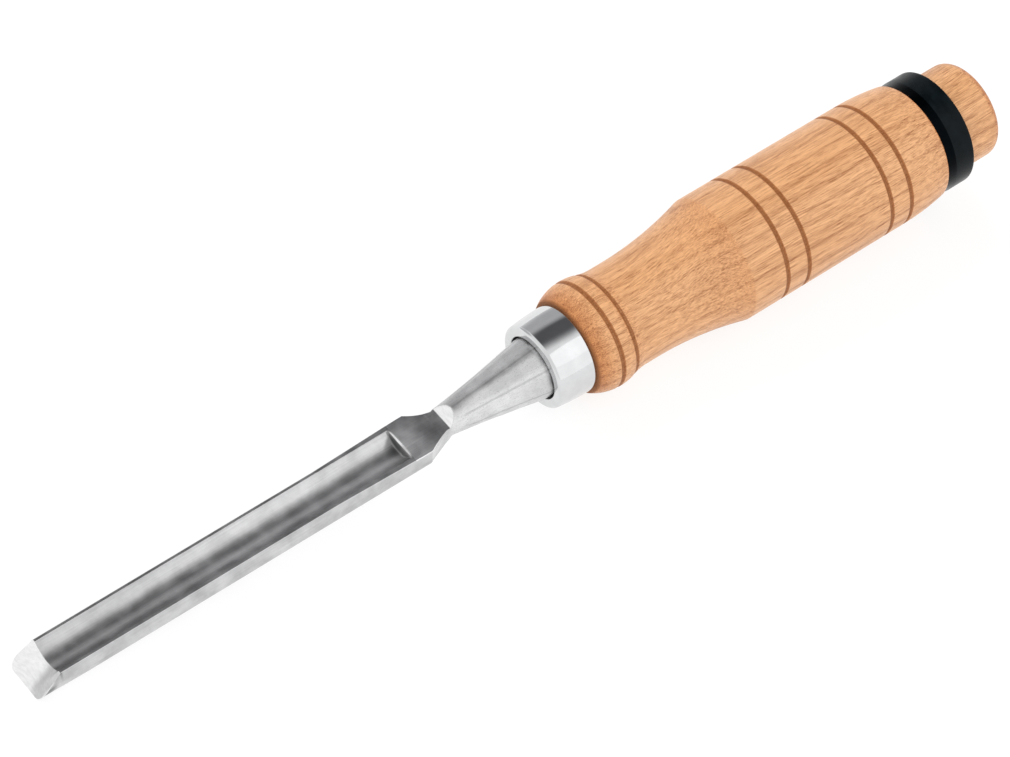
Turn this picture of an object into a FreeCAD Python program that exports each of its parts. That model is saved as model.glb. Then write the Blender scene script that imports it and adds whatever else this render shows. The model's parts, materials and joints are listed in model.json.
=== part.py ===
import FreeCAD, Part
import math
import os

# Bench chisel with a fluted blade: a one-piece forged blade, bolster and tang, a conical ferrule,
# a turned wooden handle and a steel strike ring.
#
# Each piece is built along the tool's own axis: x runs from the cutting edge to the butt, x = 0 is
# where the ferrule meets the handle, and z points up through the open side of the flute.
# The finished tool is then laid down as it rests on a bench, on its cutting edge and on the handle,
# with the origin under the middle of its box. All sizes are in millimetres.

# Blade
blade_width = 12.0          # across the shoulders
blade_depth = 6.2           # top face to underside
blade_length = 107.5        # cutting edge to shoulder corners
top_height = 1.7            # top face above the tool's axis
underside_radius = 2.0      # rounding along both lower edges
rim_inset = 0.65            # the sides lean in by this much at the rims
lean_depth = 3.4            # height of the leaning part of each side
lean_runout = 24.0          # length over which a leaning side straightens up before the shoulder
lean_end_gap = 2.0          # straight side left in front of the shoulder corner
land_width = 0.7            # flat strip between a rim and the flute
flute_depth = 2.3
flute_end_gap = 4.6         # end wall of the flute to the shoulder corners
bevel_length = 6.0          # grind, measured along the blade
edge_corner = 2.7           # the cutting edge is straight up to this far from each side
edge_corner_rise = 1.2      # the grind is this much higher at the sides than in the middle
edge_hollow = 0.02          # the straight of the edge is this much lower in the middle
shoulder_length = 7.0       # shoulder corners to the end of the flat pad
neck_width = 6.0            # across the pad's end
neck_bulge = 0.8            # how far the shoulder's curve bows in from a straight line

# Bolster and tang
bolster_length = 27.8       # pad's end to the seat on the handle
bolster_front_radius = 3.85
bolster_front_overlap = 1.2  # the neck's bar reaches this far into the bolster
bolster_rear_radius = 7.75
bolster_hollow = 0.2        # the bolster's side bows in by this much
collar_length = 2.3         # straight end that passes through the ferrule
nose_length = 2.6           # curve between the neck and the bolster
nose_rise = 1.0             # growth in radius along that curve
step_length = 2.3           # slope from the pad up to the top of the bolster
facet_count = 8
facet_ratio = 0.968         # distance to a facet over the bolster's radius
tang_root = 7.0             # the tang is square and tapers
tang_tip = 3.6
tang_length = 62.0

# Ferrule
ferrule_length = 10.2
ferrule_lip = 1.5           # thickness of the front wall
ferrule_lip_width = 2.75    # from the hole to the outer edge
ferrule_wall = 1.2
ferrule_taper = 3.0         # half angle, degrees
ferrule_corner = 0.9        # rounding of the front edge
ferrule_hole_gap = 0.3      # round the bolster's collar

# Handle
handle_length = 124.5       # ferrule to butt
front_step = 0.7            # wood standing proud of the ferrule
bulb_at = 6.8               # crest of the bulb behind the ferrule
bulb_rise = 2.05
waist_from = 15.0           # the waist is straight between these two places
waist_to = 18.0
waist_drop = 1.25           # below the crest of the bulb
crest_part = 0.46           # the crest's part of the S-curve from the bulb to the waist
barrel_from = 43.9          # the flare ends here in a crisp corner
barrel_radius = 16.3
barrel_to = 92.5            # the barrel's rounding starts here
end_drop = 1.1              # fall of that rounding
end_edge = 0.5              # small chamfer where the barrel ends
shoulder_step = 2.7         # barrel end down to the ring's seat
stub_rounding = 2.8
groove_width = 1.25
groove_depth = 0.4
bulb_grooves = (5.9, 10.4)
front_barrel_grooves = (53.6, 60.1)
rear_barrel_grooves = (85.9, 92.0)

# Strike ring
ring_at = 104.9
ring_length = 8.2
ring_wall = 2.4
ring_band_length = 2.6      # tapered band at the ring's front
ring_band_drop = 0.4
ring_edge = 0.3             # rear edge chamfer

# Fits between pieces
tang_fit = 0.0              # the tang is driven in tight
tang_point_gap = 2.0        # empty socket beyond the tang's point
tenon_fit = 0.03            # handle tenon in the ferrule
ring_fit = 0.03             # strike ring on its seat

# Places and sizes that follow from those above
tenon_length = ferrule_length - ferrule_lip
pad_end_x = -(tenon_length + bolster_length)
shoulder_x = pad_end_x - shoulder_length
edge_x = shoulder_x - blade_length
bevel_x = edge_x + bevel_length
underside_height = top_height - blade_depth
half_blade = blade_width / 2
rim_half = half_blade - rim_inset
flute_half = rim_half - land_width
collar_x = -(tenon_length + collar_length)

ferrule_hole_radius = bolster_rear_radius + ferrule_hole_gap
ferrule_front_radius = ferrule_hole_radius + ferrule_lip_width
taper = math.tan(math.radians(ferrule_taper))
ferrule_rear_radius = ferrule_front_radius + ferrule_length * taper
bore_rear_radius = ferrule_rear_radius - ferrule_wall
bore_front_radius = bore_rear_radius - tenon_length * taper

front_radius = ferrule_rear_radius + front_step
bulb_radius = front_radius + bulb_rise
waist_radius = bulb_radius - waist_drop
barrel_end_radius = barrel_radius - end_drop
seat_radius = barrel_end_radius - shoulder_step
ring_radius = seat_radius + ring_fit + ring_wall

cut_margin = 5.0            # how far a cutting shape reaches past what it cuts


def side_view(x, z):
    return FreeCAD.Vector(x, 0, z)


def plan_view(x, y):
    return FreeCAD.Vector(x, y, 0)


def end_view(x):
    """Places a point (y, z) of a cross-section at x along the tool."""
    return lambda y, z: FreeCAD.Vector(x, y, z)


def outline(place, start, *steps):
    """Closed wire: a step is an end point, or (a point on the arc, the arc's end point)."""
    edges = []
    here = start
    for step in steps + (start,):
        if isinstance(step[0], tuple):
            middle, end = step
            edges.append(Part.Arc(place(*here), place(*middle), place(*end)).toShape())
        else:
            end = step
            edges.append(Part.LineSegment(place(*here), place(*end)).toShape())
        here = end
    return Part.Wire(edges)


def turned(start, *steps):
    """Solid of revolution about the tool's axis from an outline in (x, radius)."""
    face = Part.Face(outline(side_view, start, *steps))
    return face.revolve(FreeCAD.Vector(0, 0, 0), FreeCAD.Vector(1, 0, 0), 360)


def extruded(wire, x=0.0, y=0.0, z=0.0):
    return Part.Face(wire).extrude(FreeCAD.Vector(x, y, z))


def on_circle(centre, radius, degrees):
    angle = math.radians(degrees)
    return (centre[0] + radius * math.cos(angle), centre[1] + radius * math.sin(angle))


def bowed_middle(start, end, bow):
    """Point beside the middle of a straight line, bow away to its left."""
    dx = end[0] - start[0]
    dy = end[1] - start[1]
    length = math.hypot(dx, dy)
    return ((start[0] + end[0]) / 2 - bow * dy / length, (start[1] + end[1]) / 2 + bow * dx / length)


# Blade

def blade_bar():
    """Full section of the blade, square at the top and rounded below, with its shoulders."""
    flat = half_blade - underside_radius
    corner_height = underside_height + underside_radius
    section = outline(
        end_view(edge_x),
        (-half_blade, top_height),
        (-half_blade, corner_height),
        (on_circle((-flat, corner_height), underside_radius, 225), (-flat, underside_height)),
        (flat, underside_height),
        (on_circle((flat, corner_height), underside_radius, 315), (half_blade, corner_height)),
        (half_blade, top_height),
    )
    bar = extruded(section, x=pad_end_x + bolster_front_overlap - edge_x)
    return bar.common(shoulder_plan()).common(underside_profile())


def shoulder_plan():
    """Blade seen from above: parallel sides, then two hollow curves in to the neck."""
    neck_half = neck_width / 2
    corner = (shoulder_x, half_blade)
    neck = (pad_end_x, neck_half)
    middle = bowed_middle(neck, corner, neck_bulge)
    plan = outline(
        plan_view,
        (edge_x, -half_blade),
        (shoulder_x, -half_blade),
        ((middle[0], -middle[1]), (pad_end_x, -neck_half)),
        (pad_end_x + bolster_front_overlap, -neck_half),
        (pad_end_x + bolster_front_overlap, neck_half),
        neck,
        (middle, corner),
        (edge_x, half_blade),
    )
    plan.translate(FreeCAD.Vector(0, 0, underside_height - cut_margin))
    return extruded(plan, z=blade_depth + 2 * cut_margin)


def underside_profile():
    """Blade seen from the side: level underneath, then rising from the shoulders to the bolster."""
    bar_end_x = pad_end_x + bolster_front_overlap
    profile = outline(
        side_view,
        (edge_x, underside_height),
        (shoulder_x, underside_height),
        (pad_end_x, -bolster_front_radius),
        (bar_end_x, -bolster_front_radius),
        (bar_end_x, top_height),
        (edge_x, top_height),
    )
    profile.translate(FreeCAD.Vector(0, -half_blade, 0))
    return extruded(profile, y=blade_width)


def flute_cut():
    """Round hollow along the top face, open at the cutting edge."""
    radius = (flute_half ** 2 + flute_depth ** 2) / (2 * flute_depth)
    start_x = edge_x - cut_margin
    end_x = shoulder_x - flute_end_gap
    centre = FreeCAD.Vector(start_x, 0, top_height - flute_depth + radius)
    return Part.makeCylinder(radius, end_x - start_x, centre, FreeCAD.Vector(1, 0, 0))


def side_cut(side):
    """Wedge that makes one side lean in towards its rim, running out before the shoulder."""
    def wedge(x, inset, depth):
        outside = half_blade + cut_margin
        return outline(
            end_view(x),
            (side * (half_blade - inset), top_height),
            (side * half_blade, top_height - depth),
            (side * outside, top_height - depth),
            (side * outside, top_height + cut_margin),
            (side * (half_blade - inset), top_height + cut_margin),
        )

    runout_end = shoulder_x - lean_end_gap
    runout_start = runout_end - lean_runout
    faded = 0.02
    return Part.makeLoft([
        wedge(edge_x - cut_margin, rim_inset, lean_depth),
        wedge(runout_start, rim_inset, lean_depth),
        wedge(runout_end, rim_inset * faded, lean_depth * faded),
    ], True, True)


def bevel_cut():
    """Grind on the inside of the flute, from the flute's own section down to the cutting edge."""
    flat = half_blade - edge_corner
    outside = half_blade + edge_corner_rise
    above = top_height + cut_margin

    def section(x, outer, inner, middle):
        return outline(
            end_view(x),
            (-outer[0], outer[1]),
            (-inner[0], inner[1]),
            ((0.0, middle), inner),
            outer,
            (outer[0], above),
            (-outer[0], above),
        )

    # The end section lies past the edge, on the same slopes, so that the edge comes out sharp.
    reach = 1.2
    rim = (rim_half, top_height)
    flute_edge = (flute_half, top_height)
    flute_bottom = (0.0, top_height - flute_depth)
    outer = stretched(rim, (outside, underside_height + edge_corner_rise), reach)
    inner = stretched(flute_edge, (flat, underside_height + edge_hollow), reach)
    middle = stretched(flute_bottom, (0.0, underside_height), reach)
    start = section(bevel_x, rim, flute_edge, flute_bottom[1])
    end = section(bevel_x - bevel_length * reach, outer, inner, middle[1])
    return Part.makeLoft([end, start], True, True)


def stretched(start, end, share):
    """The point at this share of the way from start to end, which may be past the end."""
    return tuple(a + (b - a) * share for a, b in zip(start, end))


def bolster():
    """Softly faceted, slightly hollow cone between the neck and the handle."""
    nose_end = pad_end_x + step_length / 2
    nose_start = nose_end - nose_length
    nose_radius = bolster_front_radius - nose_rise
    nose_from = (nose_start, nose_radius)
    nose_to = (nose_end, bolster_front_radius)
    collar = (collar_x, bolster_rear_radius)
    cone = turned(
        (nose_start, 0.0),
        nose_from,
        (bowed_middle(nose_to, nose_from, nose_rise / 6), nose_to),
        (bowed_middle(collar, nose_to, bolster_hollow), collar),
        (-tenon_length, bolster_rear_radius),
        (-tenon_length, 0.0),
    )
    middle_x, middle_radius = bowed_middle(collar, nose_to, bolster_hollow)
    facets = Part.makeLoft([
        facet_wire(nose_start, bolster_front_radius),
        facet_wire(nose_end, bolster_front_radius),
        facet_wire(middle_x, middle_radius),
        facet_wire(collar_x, bolster_rear_radius / facet_ratio),
        facet_wire(-tenon_length, bolster_rear_radius / facet_ratio),
    ], True, True)
    return cone.common(facets)


def facet_wire(x, radius):
    """Regular polygon around the axis, one corner up, whose flats are facet_ratio x radius away."""
    corner_radius = radius * facet_ratio / math.cos(math.pi / facet_count)
    corners = [on_circle((0.0, 0.0), corner_radius, 90 + 360 * n / facet_count) for n in range(facet_count)]
    return outline(end_view(x), *corners)


def above_pad_cut():
    """Space above the flat pad and its slope, cleared out of the front of the bolster."""
    slope_top = bolster_front_radius + nose_rise
    slope_end = pad_end_x + step_length * (slope_top - top_height) / (bolster_front_radius - top_height)
    view = outline(
        side_view,
        (shoulder_x, top_height),
        (pad_end_x, top_height),
        (slope_end, slope_top),
        (shoulder_x, slope_top),
    )
    view.translate(FreeCAD.Vector(0, -half_blade, 0))
    return extruded(view, y=blade_width)


def tang(clearance=0.0, extra_length=0.0):
    """Square tapered spike; with clearance and extra length it is the socket for that spike."""
    def square(x, width):
        half = width / 2 + clearance
        return outline(end_view(x), (-half, -half), (half, -half), (half, half), (-half, half))

    start_x = -tenon_length
    slope = (tang_root - tang_tip) / tang_length
    length = tang_length + extra_length
    return Part.makeLoft([
        square(start_x, tang_root),
        square(start_x + length, tang_root - slope * length),
    ], True, True)


def make_blade():
    bar = blade_bar()
    bar = bar.cut(flute_cut())
    for side in (-1, 1):
        bar = bar.cut(side_cut(side))
    bar = bar.cut(bevel_cut())
    forged_end = bolster().cut(above_pad_cut())
    bar = bar.cut(above_pad_cut())
    return bar.fuse([forged_end, tang()]).removeSplitter()


# Ferrule

def make_ferrule():
    front_x = -ferrule_length
    corner_x = front_x + ferrule_corner
    corner_radius = ferrule_front_radius + ferrule_corner * taper
    corner_start = (front_x, corner_radius - ferrule_corner)
    corner_centre = (corner_x, corner_radius - ferrule_corner)
    return turned(
        (front_x, ferrule_hole_radius),
        corner_start,
        (on_circle(corner_centre, ferrule_corner, 135), (corner_x, corner_radius)),
        (0.0, ferrule_rear_radius),
        (0.0, bore_rear_radius),
        (-tenon_length, bore_front_radius),
        (-tenon_length, ferrule_hole_radius),
    )


# Handle

def arc_radius(length, rise):
    """Radius of an arc that starts level and rises this much over this length."""
    return (length ** 2 + rise ** 2) / (2 * rise)


def arc_fall(distance, radius):
    """How far an arc that starts level has fallen after this distance."""
    return radius - math.sqrt(radius ** 2 - distance ** 2)


def bulb_curve():
    """Radii of the bulb's round crest and of the hollow behind it, and where the two meet."""
    both = arc_radius(waist_from - bulb_at, waist_drop)
    meet_x = bulb_at + (waist_from - bulb_at) * crest_part
    return both * crest_part, both * (1 - crest_part), meet_x


def handle_radius(x):
    """Outside radius of the handle, without its grooves, from the ferrule to the strike ring."""
    crest, hollow, meet_x = bulb_curve()
    if x < bulb_at:
        return bulb_radius - arc_fall(bulb_at - x, arc_radius(bulb_at, bulb_rise))
    if x < meet_x:
        return bulb_radius - arc_fall(x - bulb_at, crest)
    if x < waist_from:
        return waist_radius + arc_fall(waist_from - x, hollow)
    if x < waist_to:
        return waist_radius
    if x < barrel_from:
        flare = arc_radius(barrel_from - waist_to, barrel_radius - waist_radius)
        return waist_radius + arc_fall(x - waist_to, flare)
    if x < barrel_to:
        return barrel_radius
    return barrel_radius - arc_fall(x - barrel_to, arc_radius(ring_at - barrel_to, end_drop))


def handle_surface(places, grooves):
    """Steps of an outline along the handle's surface, dipping into each groove on the way."""
    half = groove_width / 2
    dips = [(x - half, x + half) for x in grooves]
    free = [x for x in places if not any(start <= x <= end for start, end in dips)]
    stops = sorted(free + [x for dip in dips for x in dip])
    steps = []
    for start, end in zip(stops, stops[1:]):
        middle = (start + end) / 2
        finish = (end, handle_radius(end))
        depth = groove_depth if (start, end) in dips else 0.0
        bottom = (middle, handle_radius(middle) - depth)
        level = (handle_radius(start) + handle_radius(end)) / 2
        straight = abs(bottom[1] - level) < 1e-6
        steps.append(finish if straight else (bottom, finish))
    return steps


def make_handle():
    meet_x = bulb_curve()[2]
    barrel_end = ring_at - end_edge
    stub_round_x = handle_length - stub_rounding
    stub_flat = seat_radius - stub_rounding
    surface = handle_surface(
        [0.0, bulb_at, meet_x, waist_from, waist_to, barrel_from, barrel_to, barrel_end],
        bulb_grooves + front_barrel_grooves + rear_barrel_grooves,
    )
    body = turned(
        (-tenon_length, 0.0),
        (-tenon_length, bore_front_radius - tenon_fit),
        (0.0, bore_rear_radius - tenon_fit),
        (0.0, front_radius),
        *surface,
        (ring_at, handle_radius(barrel_end) - end_edge),
        (ring_at, seat_radius),
        (stub_round_x, seat_radius),
        (on_circle((stub_round_x, stub_flat), stub_rounding, 45), (handle_length, stub_flat)),
        (handle_length, 0.0),
    )
    return body.cut(tang(tang_fit, tang_point_gap))


# Strike ring

def make_strike_ring():
    rear_x = ring_at + ring_length
    band_x = ring_at + ring_band_length
    return turned(
        (ring_at, seat_radius + ring_fit),
        (ring_at, ring_radius - ring_band_drop),
        (band_x, ring_radius),
        (rear_x - ring_edge, ring_radius),
        (rear_x, ring_radius - ring_edge),
        (rear_x, seat_radius + ring_fit),
    )


# The whole tool

def lie_angle():
    """Degrees by which the tool's axis rises towards the butt when it lies on a bench."""
    rise = barrel_radius + underside_height
    return math.degrees(math.atan2(rise, barrel_from - edge_x))


def lying(pieces):
    """Placement that lays the tool down and puts the origin under the middle of its box."""
    tilt = FreeCAD.Rotation(FreeCAD.Vector(0, 1, 0), -lie_angle())
    placement = FreeCAD.Placement(FreeCAD.Vector(0, 0, 0), tilt)
    box = FreeCAD.BoundBox()
    for shape in pieces.values():
        tilted = shape.copy()
        tilted.Placement = placement
        box.add(tilted.optimalBoundingBox(False, False))
    placement.Base = FreeCAD.Vector(-box.Center.x, -box.Center.y, -box.ZMin)
    return placement


def make_pieces():
    return {
        "blade": make_blade(),
        "ferrule": make_ferrule(),
        "handle": make_handle(),
        "strike_ring": make_strike_ring(),
    }


def main():
    os.makedirs("parts", exist_ok=True)
    pieces = make_pieces()
    placement = lying(pieces)
    for name, shape in pieces.items():
        shape.Placement = placement
        shape.exportStep(os.path.join("parts", name + ".step"))


if __name__ == "__main__":
    main()
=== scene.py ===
import json
import math
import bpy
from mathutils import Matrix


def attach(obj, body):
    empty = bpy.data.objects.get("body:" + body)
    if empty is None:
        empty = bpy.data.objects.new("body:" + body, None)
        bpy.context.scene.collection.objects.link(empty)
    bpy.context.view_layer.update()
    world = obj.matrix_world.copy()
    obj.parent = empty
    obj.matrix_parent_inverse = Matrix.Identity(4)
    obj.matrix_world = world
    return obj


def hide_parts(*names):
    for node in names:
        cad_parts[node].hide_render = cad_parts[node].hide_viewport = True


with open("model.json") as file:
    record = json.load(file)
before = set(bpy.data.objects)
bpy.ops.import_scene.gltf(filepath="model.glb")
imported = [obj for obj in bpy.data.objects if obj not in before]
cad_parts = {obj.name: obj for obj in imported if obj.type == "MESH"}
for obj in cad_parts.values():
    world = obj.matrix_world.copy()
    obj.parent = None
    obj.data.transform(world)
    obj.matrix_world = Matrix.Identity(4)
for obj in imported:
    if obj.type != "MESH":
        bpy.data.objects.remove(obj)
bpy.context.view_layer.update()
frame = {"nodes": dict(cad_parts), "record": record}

from types import SimpleNamespace

import bmesh
import bpy
from bpy.props import FloatProperty, FloatVectorProperty, PointerProperty
from mathutils import Matrix, Vector

bl_info = {
    "name": "Fluted bench chisel",
    "version": (1, 0, 0),
    "blender": (4, 5, 0),
    "location": "3D View > Sidebar > Chisel",
    "description": "Builds a bench chisel with a fluted blade and a turned handle round its packed frame",
    "category": "Object",
}

# Every piece is made in the tool's own space, in metres: x runs from the cutting edge to the butt,
# x = 0 is where the ferrule meets the handle, and z points up out of the flute.

MM = 0.001


# ---------- measured from the frame

def mount(name):
    """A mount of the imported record."""
    return next(m for m in frame["record"]["mounts"] if m["name"] == name)


AXIS = Vector(mount("butt_face")["axis"]).normalized()
BUTT = Vector(mount("butt_face")["pos_m"])
SIDE = Vector((0.0, 1.0, 0.0))


def corners(node):
    """Places of a node's vertices."""
    return [v.co for v in frame["nodes"][node].data.vertices]


def tool_space():
    """Matrix from the tool's space to the frame."""
    rear = max(co.dot(AXIS) for co in corners("ferrule"))
    turn = Matrix((AXIS, SIDE, AXIS.cross(SIDE))).transposed().to_4x4()
    return Matrix.Translation(BUTT + AXIS * (rear - BUTT.dot(AXIS))) @ turn


TOOL = tool_space()


def ends(node):
    """Where a node starts and ends along the tool."""
    along = [(TOOL.inverted() @ co).x for co in corners(node)]
    return min(along), max(along)


def girth(node):
    """A node's largest distance from the tool's axis."""
    return max((TOOL.inverted() @ co).yz.length for co in corners(node))


EDGE_X = ends("blade")[0]
FERRULE_FRONT = ends("ferrule")[0]
FERRULE_REAR_RADIUS = girth("ferrule")
TENON_X = ends("handle")[0]
HAIR = 0.004 * MM  # keeps the visible handle just inside the frame's box
BUTT_X = ends("handle")[1] - HAIR
BARREL_RADIUS = girth("handle") - HAIR
RING_X, RING_END_X = ends("strike_ring")
RING_RADIUS = girth("strike_ring")


# ---------- sizes and colours

def number(name, description, default, **more):
    return FloatProperty(name=name, description=description, default=default, min=0.0, **more)


def size(name, description, default):
    """A length, whose default is given in millimetres."""
    return number(name, description, default * MM, unit="LENGTH", subtype="DISTANCE", precision=5)


def share(name, description, default):
    return number(name, description, default, max=1.0, subtype="FACTOR")


def angle(name, description, degrees):
    return FloatProperty(name=name, description=description, default=math.radians(degrees), subtype="ANGLE")


def colour(name, description, default):
    return FloatVectorProperty(
        name=name, description=description, default=default, size=3, min=0.0, max=1.0, subtype="COLOR"
    )


class BladeSettings(bpy.types.PropertyGroup):
    width: size("Width", "Across the shoulders", 12.0)
    top: size("Top", "Top face above the tool's axis", 1.7)
    depth: size("Depth", "Top face to underside", 6.2)
    lower_rounding: size("Lower rounding", "Rounding along both lower edges", 2.0)
    rim_inset: size("Rim inset", "How far the sides lean in at the rims", 0.65)
    lean_depth: size("Lean depth", "Height of the leaning part of a side", 3.4)
    lean_runout: size("Lean runout", "Length over which a leaning side straightens", 24.0)
    lean_end_gap: size("Lean end gap", "Straight side in front of the shoulder", 2.0)
    land: size("Land", "Flat strip between a rim and the flute", 0.7)
    flute_depth: size("Flute depth", "Depth of the hollow", 2.3)
    flute_end_gap: size("Flute end gap", "End wall of the flute to the shoulder", 4.6)
    bevel: size("Bevel", "Length of the grind", 6.0)
    edge_corner: size("Edge corner", "The edge is straight up to this far from each side", 2.7)
    edge_rise: size("Edge rise", "The grind is this much higher at the sides", 1.2)
    length: size("Length", "Cutting edge to the shoulder corners", 107.5)
    shoulder: size("Shoulder", "Shoulder corners to the end of the pad", 7.0)
    neck: size("Neck", "Width at the end of the pad", 6.0)
    neck_bulge: size("Neck bulge", "How far a shoulder's curve bows in", 0.6)
    right_fill: size("Right fill", "How much less the right shoulder bows in", 0.4)
    front_radius: size("Bolster front", "Radius of the bolster at the neck", 3.85)
    rear_radius: size("Bolster rear", "Radius of the bolster at the ferrule", 7.75)
    hollow: size("Bolster hollow", "How far the bolster's side bows in", 0.2)
    collar: size("Collar", "Straight end that passes through the ferrule", 2.3)
    step: size("Step", "Length of the slope from the pad up to the bolster", 2.3)
    facet: share("Facet", "Distance to a facet over the bolster's radius", 0.972)
    tang_root: size("Tang root", "Width of the tang at the handle's end", 6.9)
    tang_tip: size("Tang tip", "Width of the tang at its point", 3.5)
    tang_length: size("Tang length", "From the collar to the point", 62.0)
    steel: colour("Ground steel", "Colour of the ground faces", (0.60, 0.60, 0.605))
    forged: colour("Forged steel", "Colour of the neck and the bolster", (0.71, 0.71, 0.715))
    fresh: colour("Fresh steel", "Colour of the newly ground bevel", (0.90, 0.90, 0.90))


class FerruleSettings(bpy.types.PropertyGroup):
    taper: angle("Taper", "Half angle of the cone", 3.0)
    corner: size("Corner", "Rounding of the front edge", 0.9)
    lip: size("Lip", "Thickness of the front wall", 1.5)
    wall: size("Wall", "Thickness of the side", 1.2)
    swell: size("Swell", "How far the side bulges out", 0.16)
    hole_gap: size("Hole gap", "Space round the bolster", 0.4)
    chrome: colour("Chrome", "Colour of the plating", (0.68, 0.685, 0.69))


class HandleSettings(bpy.types.PropertyGroup):
    front_step: size("Front step", "Wood standing proud of the ferrule", 0.7)
    bulb_at: size("Bulb place", "Crest of the bulb behind the ferrule", 6.8)
    bulb_rise: size("Bulb rise", "Growth in radius up to the crest", 2.05)
    waist_from: size("Waist start", "The waist is straight from here", 15.0)
    waist_to: size("Waist end", "The waist is straight up to here", 18.0)
    waist_drop: size("Waist drop", "Waist below the crest of the bulb", 1.25)
    crest_part: share("Crest part", "The crest's part of the curve from bulb to waist", 0.46)
    barrel_from: size("Barrel start", "The flare ends here in a crisp corner", 43.9)
    barrel_to: size("Barrel end", "The barrel's rounding starts here", 92.5)
    end_drop: size("End drop", "Fall of the barrel's rounding", 1.1)
    end_edge: size("End edge", "Rounding where the barrel ends", 0.5)
    seat_radius: size("Seat", "Radius of the stub that carries the ring", 12.5)
    stub_rounding: size("Stub rounding", "Rounding of the butt", 2.8)
    groove_width: size("Groove width", "Across one scorched groove", 1.25)
    groove_depth: size("Groove depth", "Depth of one scorched groove", 0.38)
    light_wood: colour("Light wood", "Colour between the fibres", (0.78, 0.420, 0.200))
    dark_wood: colour("Dark wood", "Colour of the fibres", (0.28, 0.092, 0.024))
    # This colour also paints the thin band of shade where the wood meets the ferrule
    scorch_and_shade: colour("Scorch", "Colour of the burned grooves", (0.240, 0.082, 0.020))


class RingSettings(bpy.types.PropertyGroup):
    wall: size("Wall", "Thickness of the ring", 2.4)
    band: size("Band", "Length of the tapered front band", 2.6)
    band_drop: size("Band drop", "How much smaller the band starts", 0.4)
    rounding: size("Rounding", "Rounding of the edges", 0.3)
    black: colour("Black", "Colour of the finish", (0.0045, 0.0085, 0.0105))


class StageSettings(bpy.types.PropertyGroup):
    aim: FloatVectorProperty(
        name="Aim", description="Point that the camera looks at, in the tool's space",
        default=(-0.01469, 0.00397, -0.00487), size=3, unit="LENGTH", subtype="XYZ",
    )
    azimuth: angle("Azimuth", "Camera's turn round the tool", -45.03)
    elevation: angle("Elevation", "Camera above the horizon", 52.0)
    roll: angle("Roll", "Camera's turn about its own view", 9.07)
    distance: size("Distance", "Camera to the aim", 1000.0)
    lens: number("Lens", "Focal length in millimetres", 153.66)
    floor: colour("Floor", "Colour of the floor", (0.22, 0.22, 0.22))
    glow: number("Glow", "Light that the floor gives off", 0.80)
    floor_radius: size("Floor radius", "How far the floor reaches", 5000.0)
    light: number("Surroundings", "Strength of the white room", 1.0)
    key: number("Key", "Power of the soft key light", 4.0, unit="POWER")
    fill: number("Fill", "Power of the light behind", 10.0, unit="POWER")


SETTINGS = {
    "chisel_blade": BladeSettings,
    "chisel_ferrule": FerruleSettings,
    "chisel_handle": HandleSettings,
    "chisel_ring": RingSettings,
    "chisel_stage": StageSettings,
}


# ---------- outlines

def mix(a, b, t):
    return a + (b - a) * t


def smooth(t):
    """0 below 0, 1 above 1, and an S-curve between."""
    t = min(max(t, 0.0), 1.0)
    return t * t * (3.0 - 2.0 * t)


def spread(start, end, count):
    """Evenly spaced values from start to end, both included."""
    return [mix(start, end, n / (count - 1)) for n in range(count)]


def arc_radius(length, rise):
    """Radius of an arc that starts level and rises this much over this length."""
    return (length ** 2 + rise ** 2) / (2 * rise)


def arc_fall(distance, radius):
    """How far an arc that starts level has fallen after this distance."""
    return radius - math.sqrt(max(radius ** 2 - distance ** 2, 0.0))


def bow(start, end, rise, t):
    """Height at a share t of the way along a shallow arc from start to end that bows up by rise."""
    return mix(start, end, t) + 4.0 * rise * t * (1.0 - t)


def eased(before, corner, after, ease, steps):
    """Points of a circular arc that rounds a corner, starting and ending this far from it."""
    back = (before - corner).normalized()
    ahead = (after - corner).normalized()
    weight = math.sin(math.acos(max(-1.0, min(1.0, back.dot(ahead)))) / 2.0)
    first = corner + back * ease
    last = corner + ahead * ease
    points = []
    for t in spread(0.0, 1.0, steps + 1):
        a, b, c = (1 - t) ** 2, 2 * t * (1 - t) * weight, t ** 2
        points.append((first * a + corner * b + last * c) / (a + b + c))
    return points


def outline(*places):
    """Open outline through (a, b) or (a, b, ease, steps); a corner with an ease is rounded."""
    spots = [Vector(place[:2]) for place in places]
    points = [spots[0]]
    for n in range(1, len(places) - 1):
        if len(places[n]) > 2:
            points += eased(spots[n - 1], spots[n], spots[n + 1], places[n][2], places[n][3])
        else:
            points.append(spots[n])
    points.append(spots[-1])
    return points


def divided(points, longest):
    """The same outline with its long runs cut into equal parts."""
    done = [points[0]]
    for start, end in zip(points, points[1:]):
        parts = max(1, math.ceil((end - start).length / longest))
        done += [start.lerp(end, n / parts) for n in range(1, parts + 1)]
    return done


# ---------- meshes

def skin(loops, closed_start=True, closed_end=True):
    """Mesh over a row of closed loops with equally many points."""
    mesh = bmesh.new()
    rows = [[mesh.verts.new(point) for point in loop] for loop in loops]
    count = len(rows[0])
    for low, high in zip(rows, rows[1:]):
        for n in range(count):
            after = (n + 1) % count
            mesh.faces.new((low[n], low[after], high[after], high[n]))
    if closed_start:
        mesh.faces.new(rows[0])
    if closed_end:
        mesh.faces.new(rows[-1])
    return mesh


def new_object(name, data):
    """Object with this data, in the scene."""
    made = bpy.data.objects.new(name, data)
    bpy.context.scene.collection.objects.link(made)
    return made


def new_piece(mesh, name, materials):
    """Turns a built mesh into an object."""
    data = bpy.data.meshes.new(name)
    mesh.to_mesh(data)
    mesh.free()
    for material in materials:
        data.materials.append(material)
    return new_object(name, data)


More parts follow.
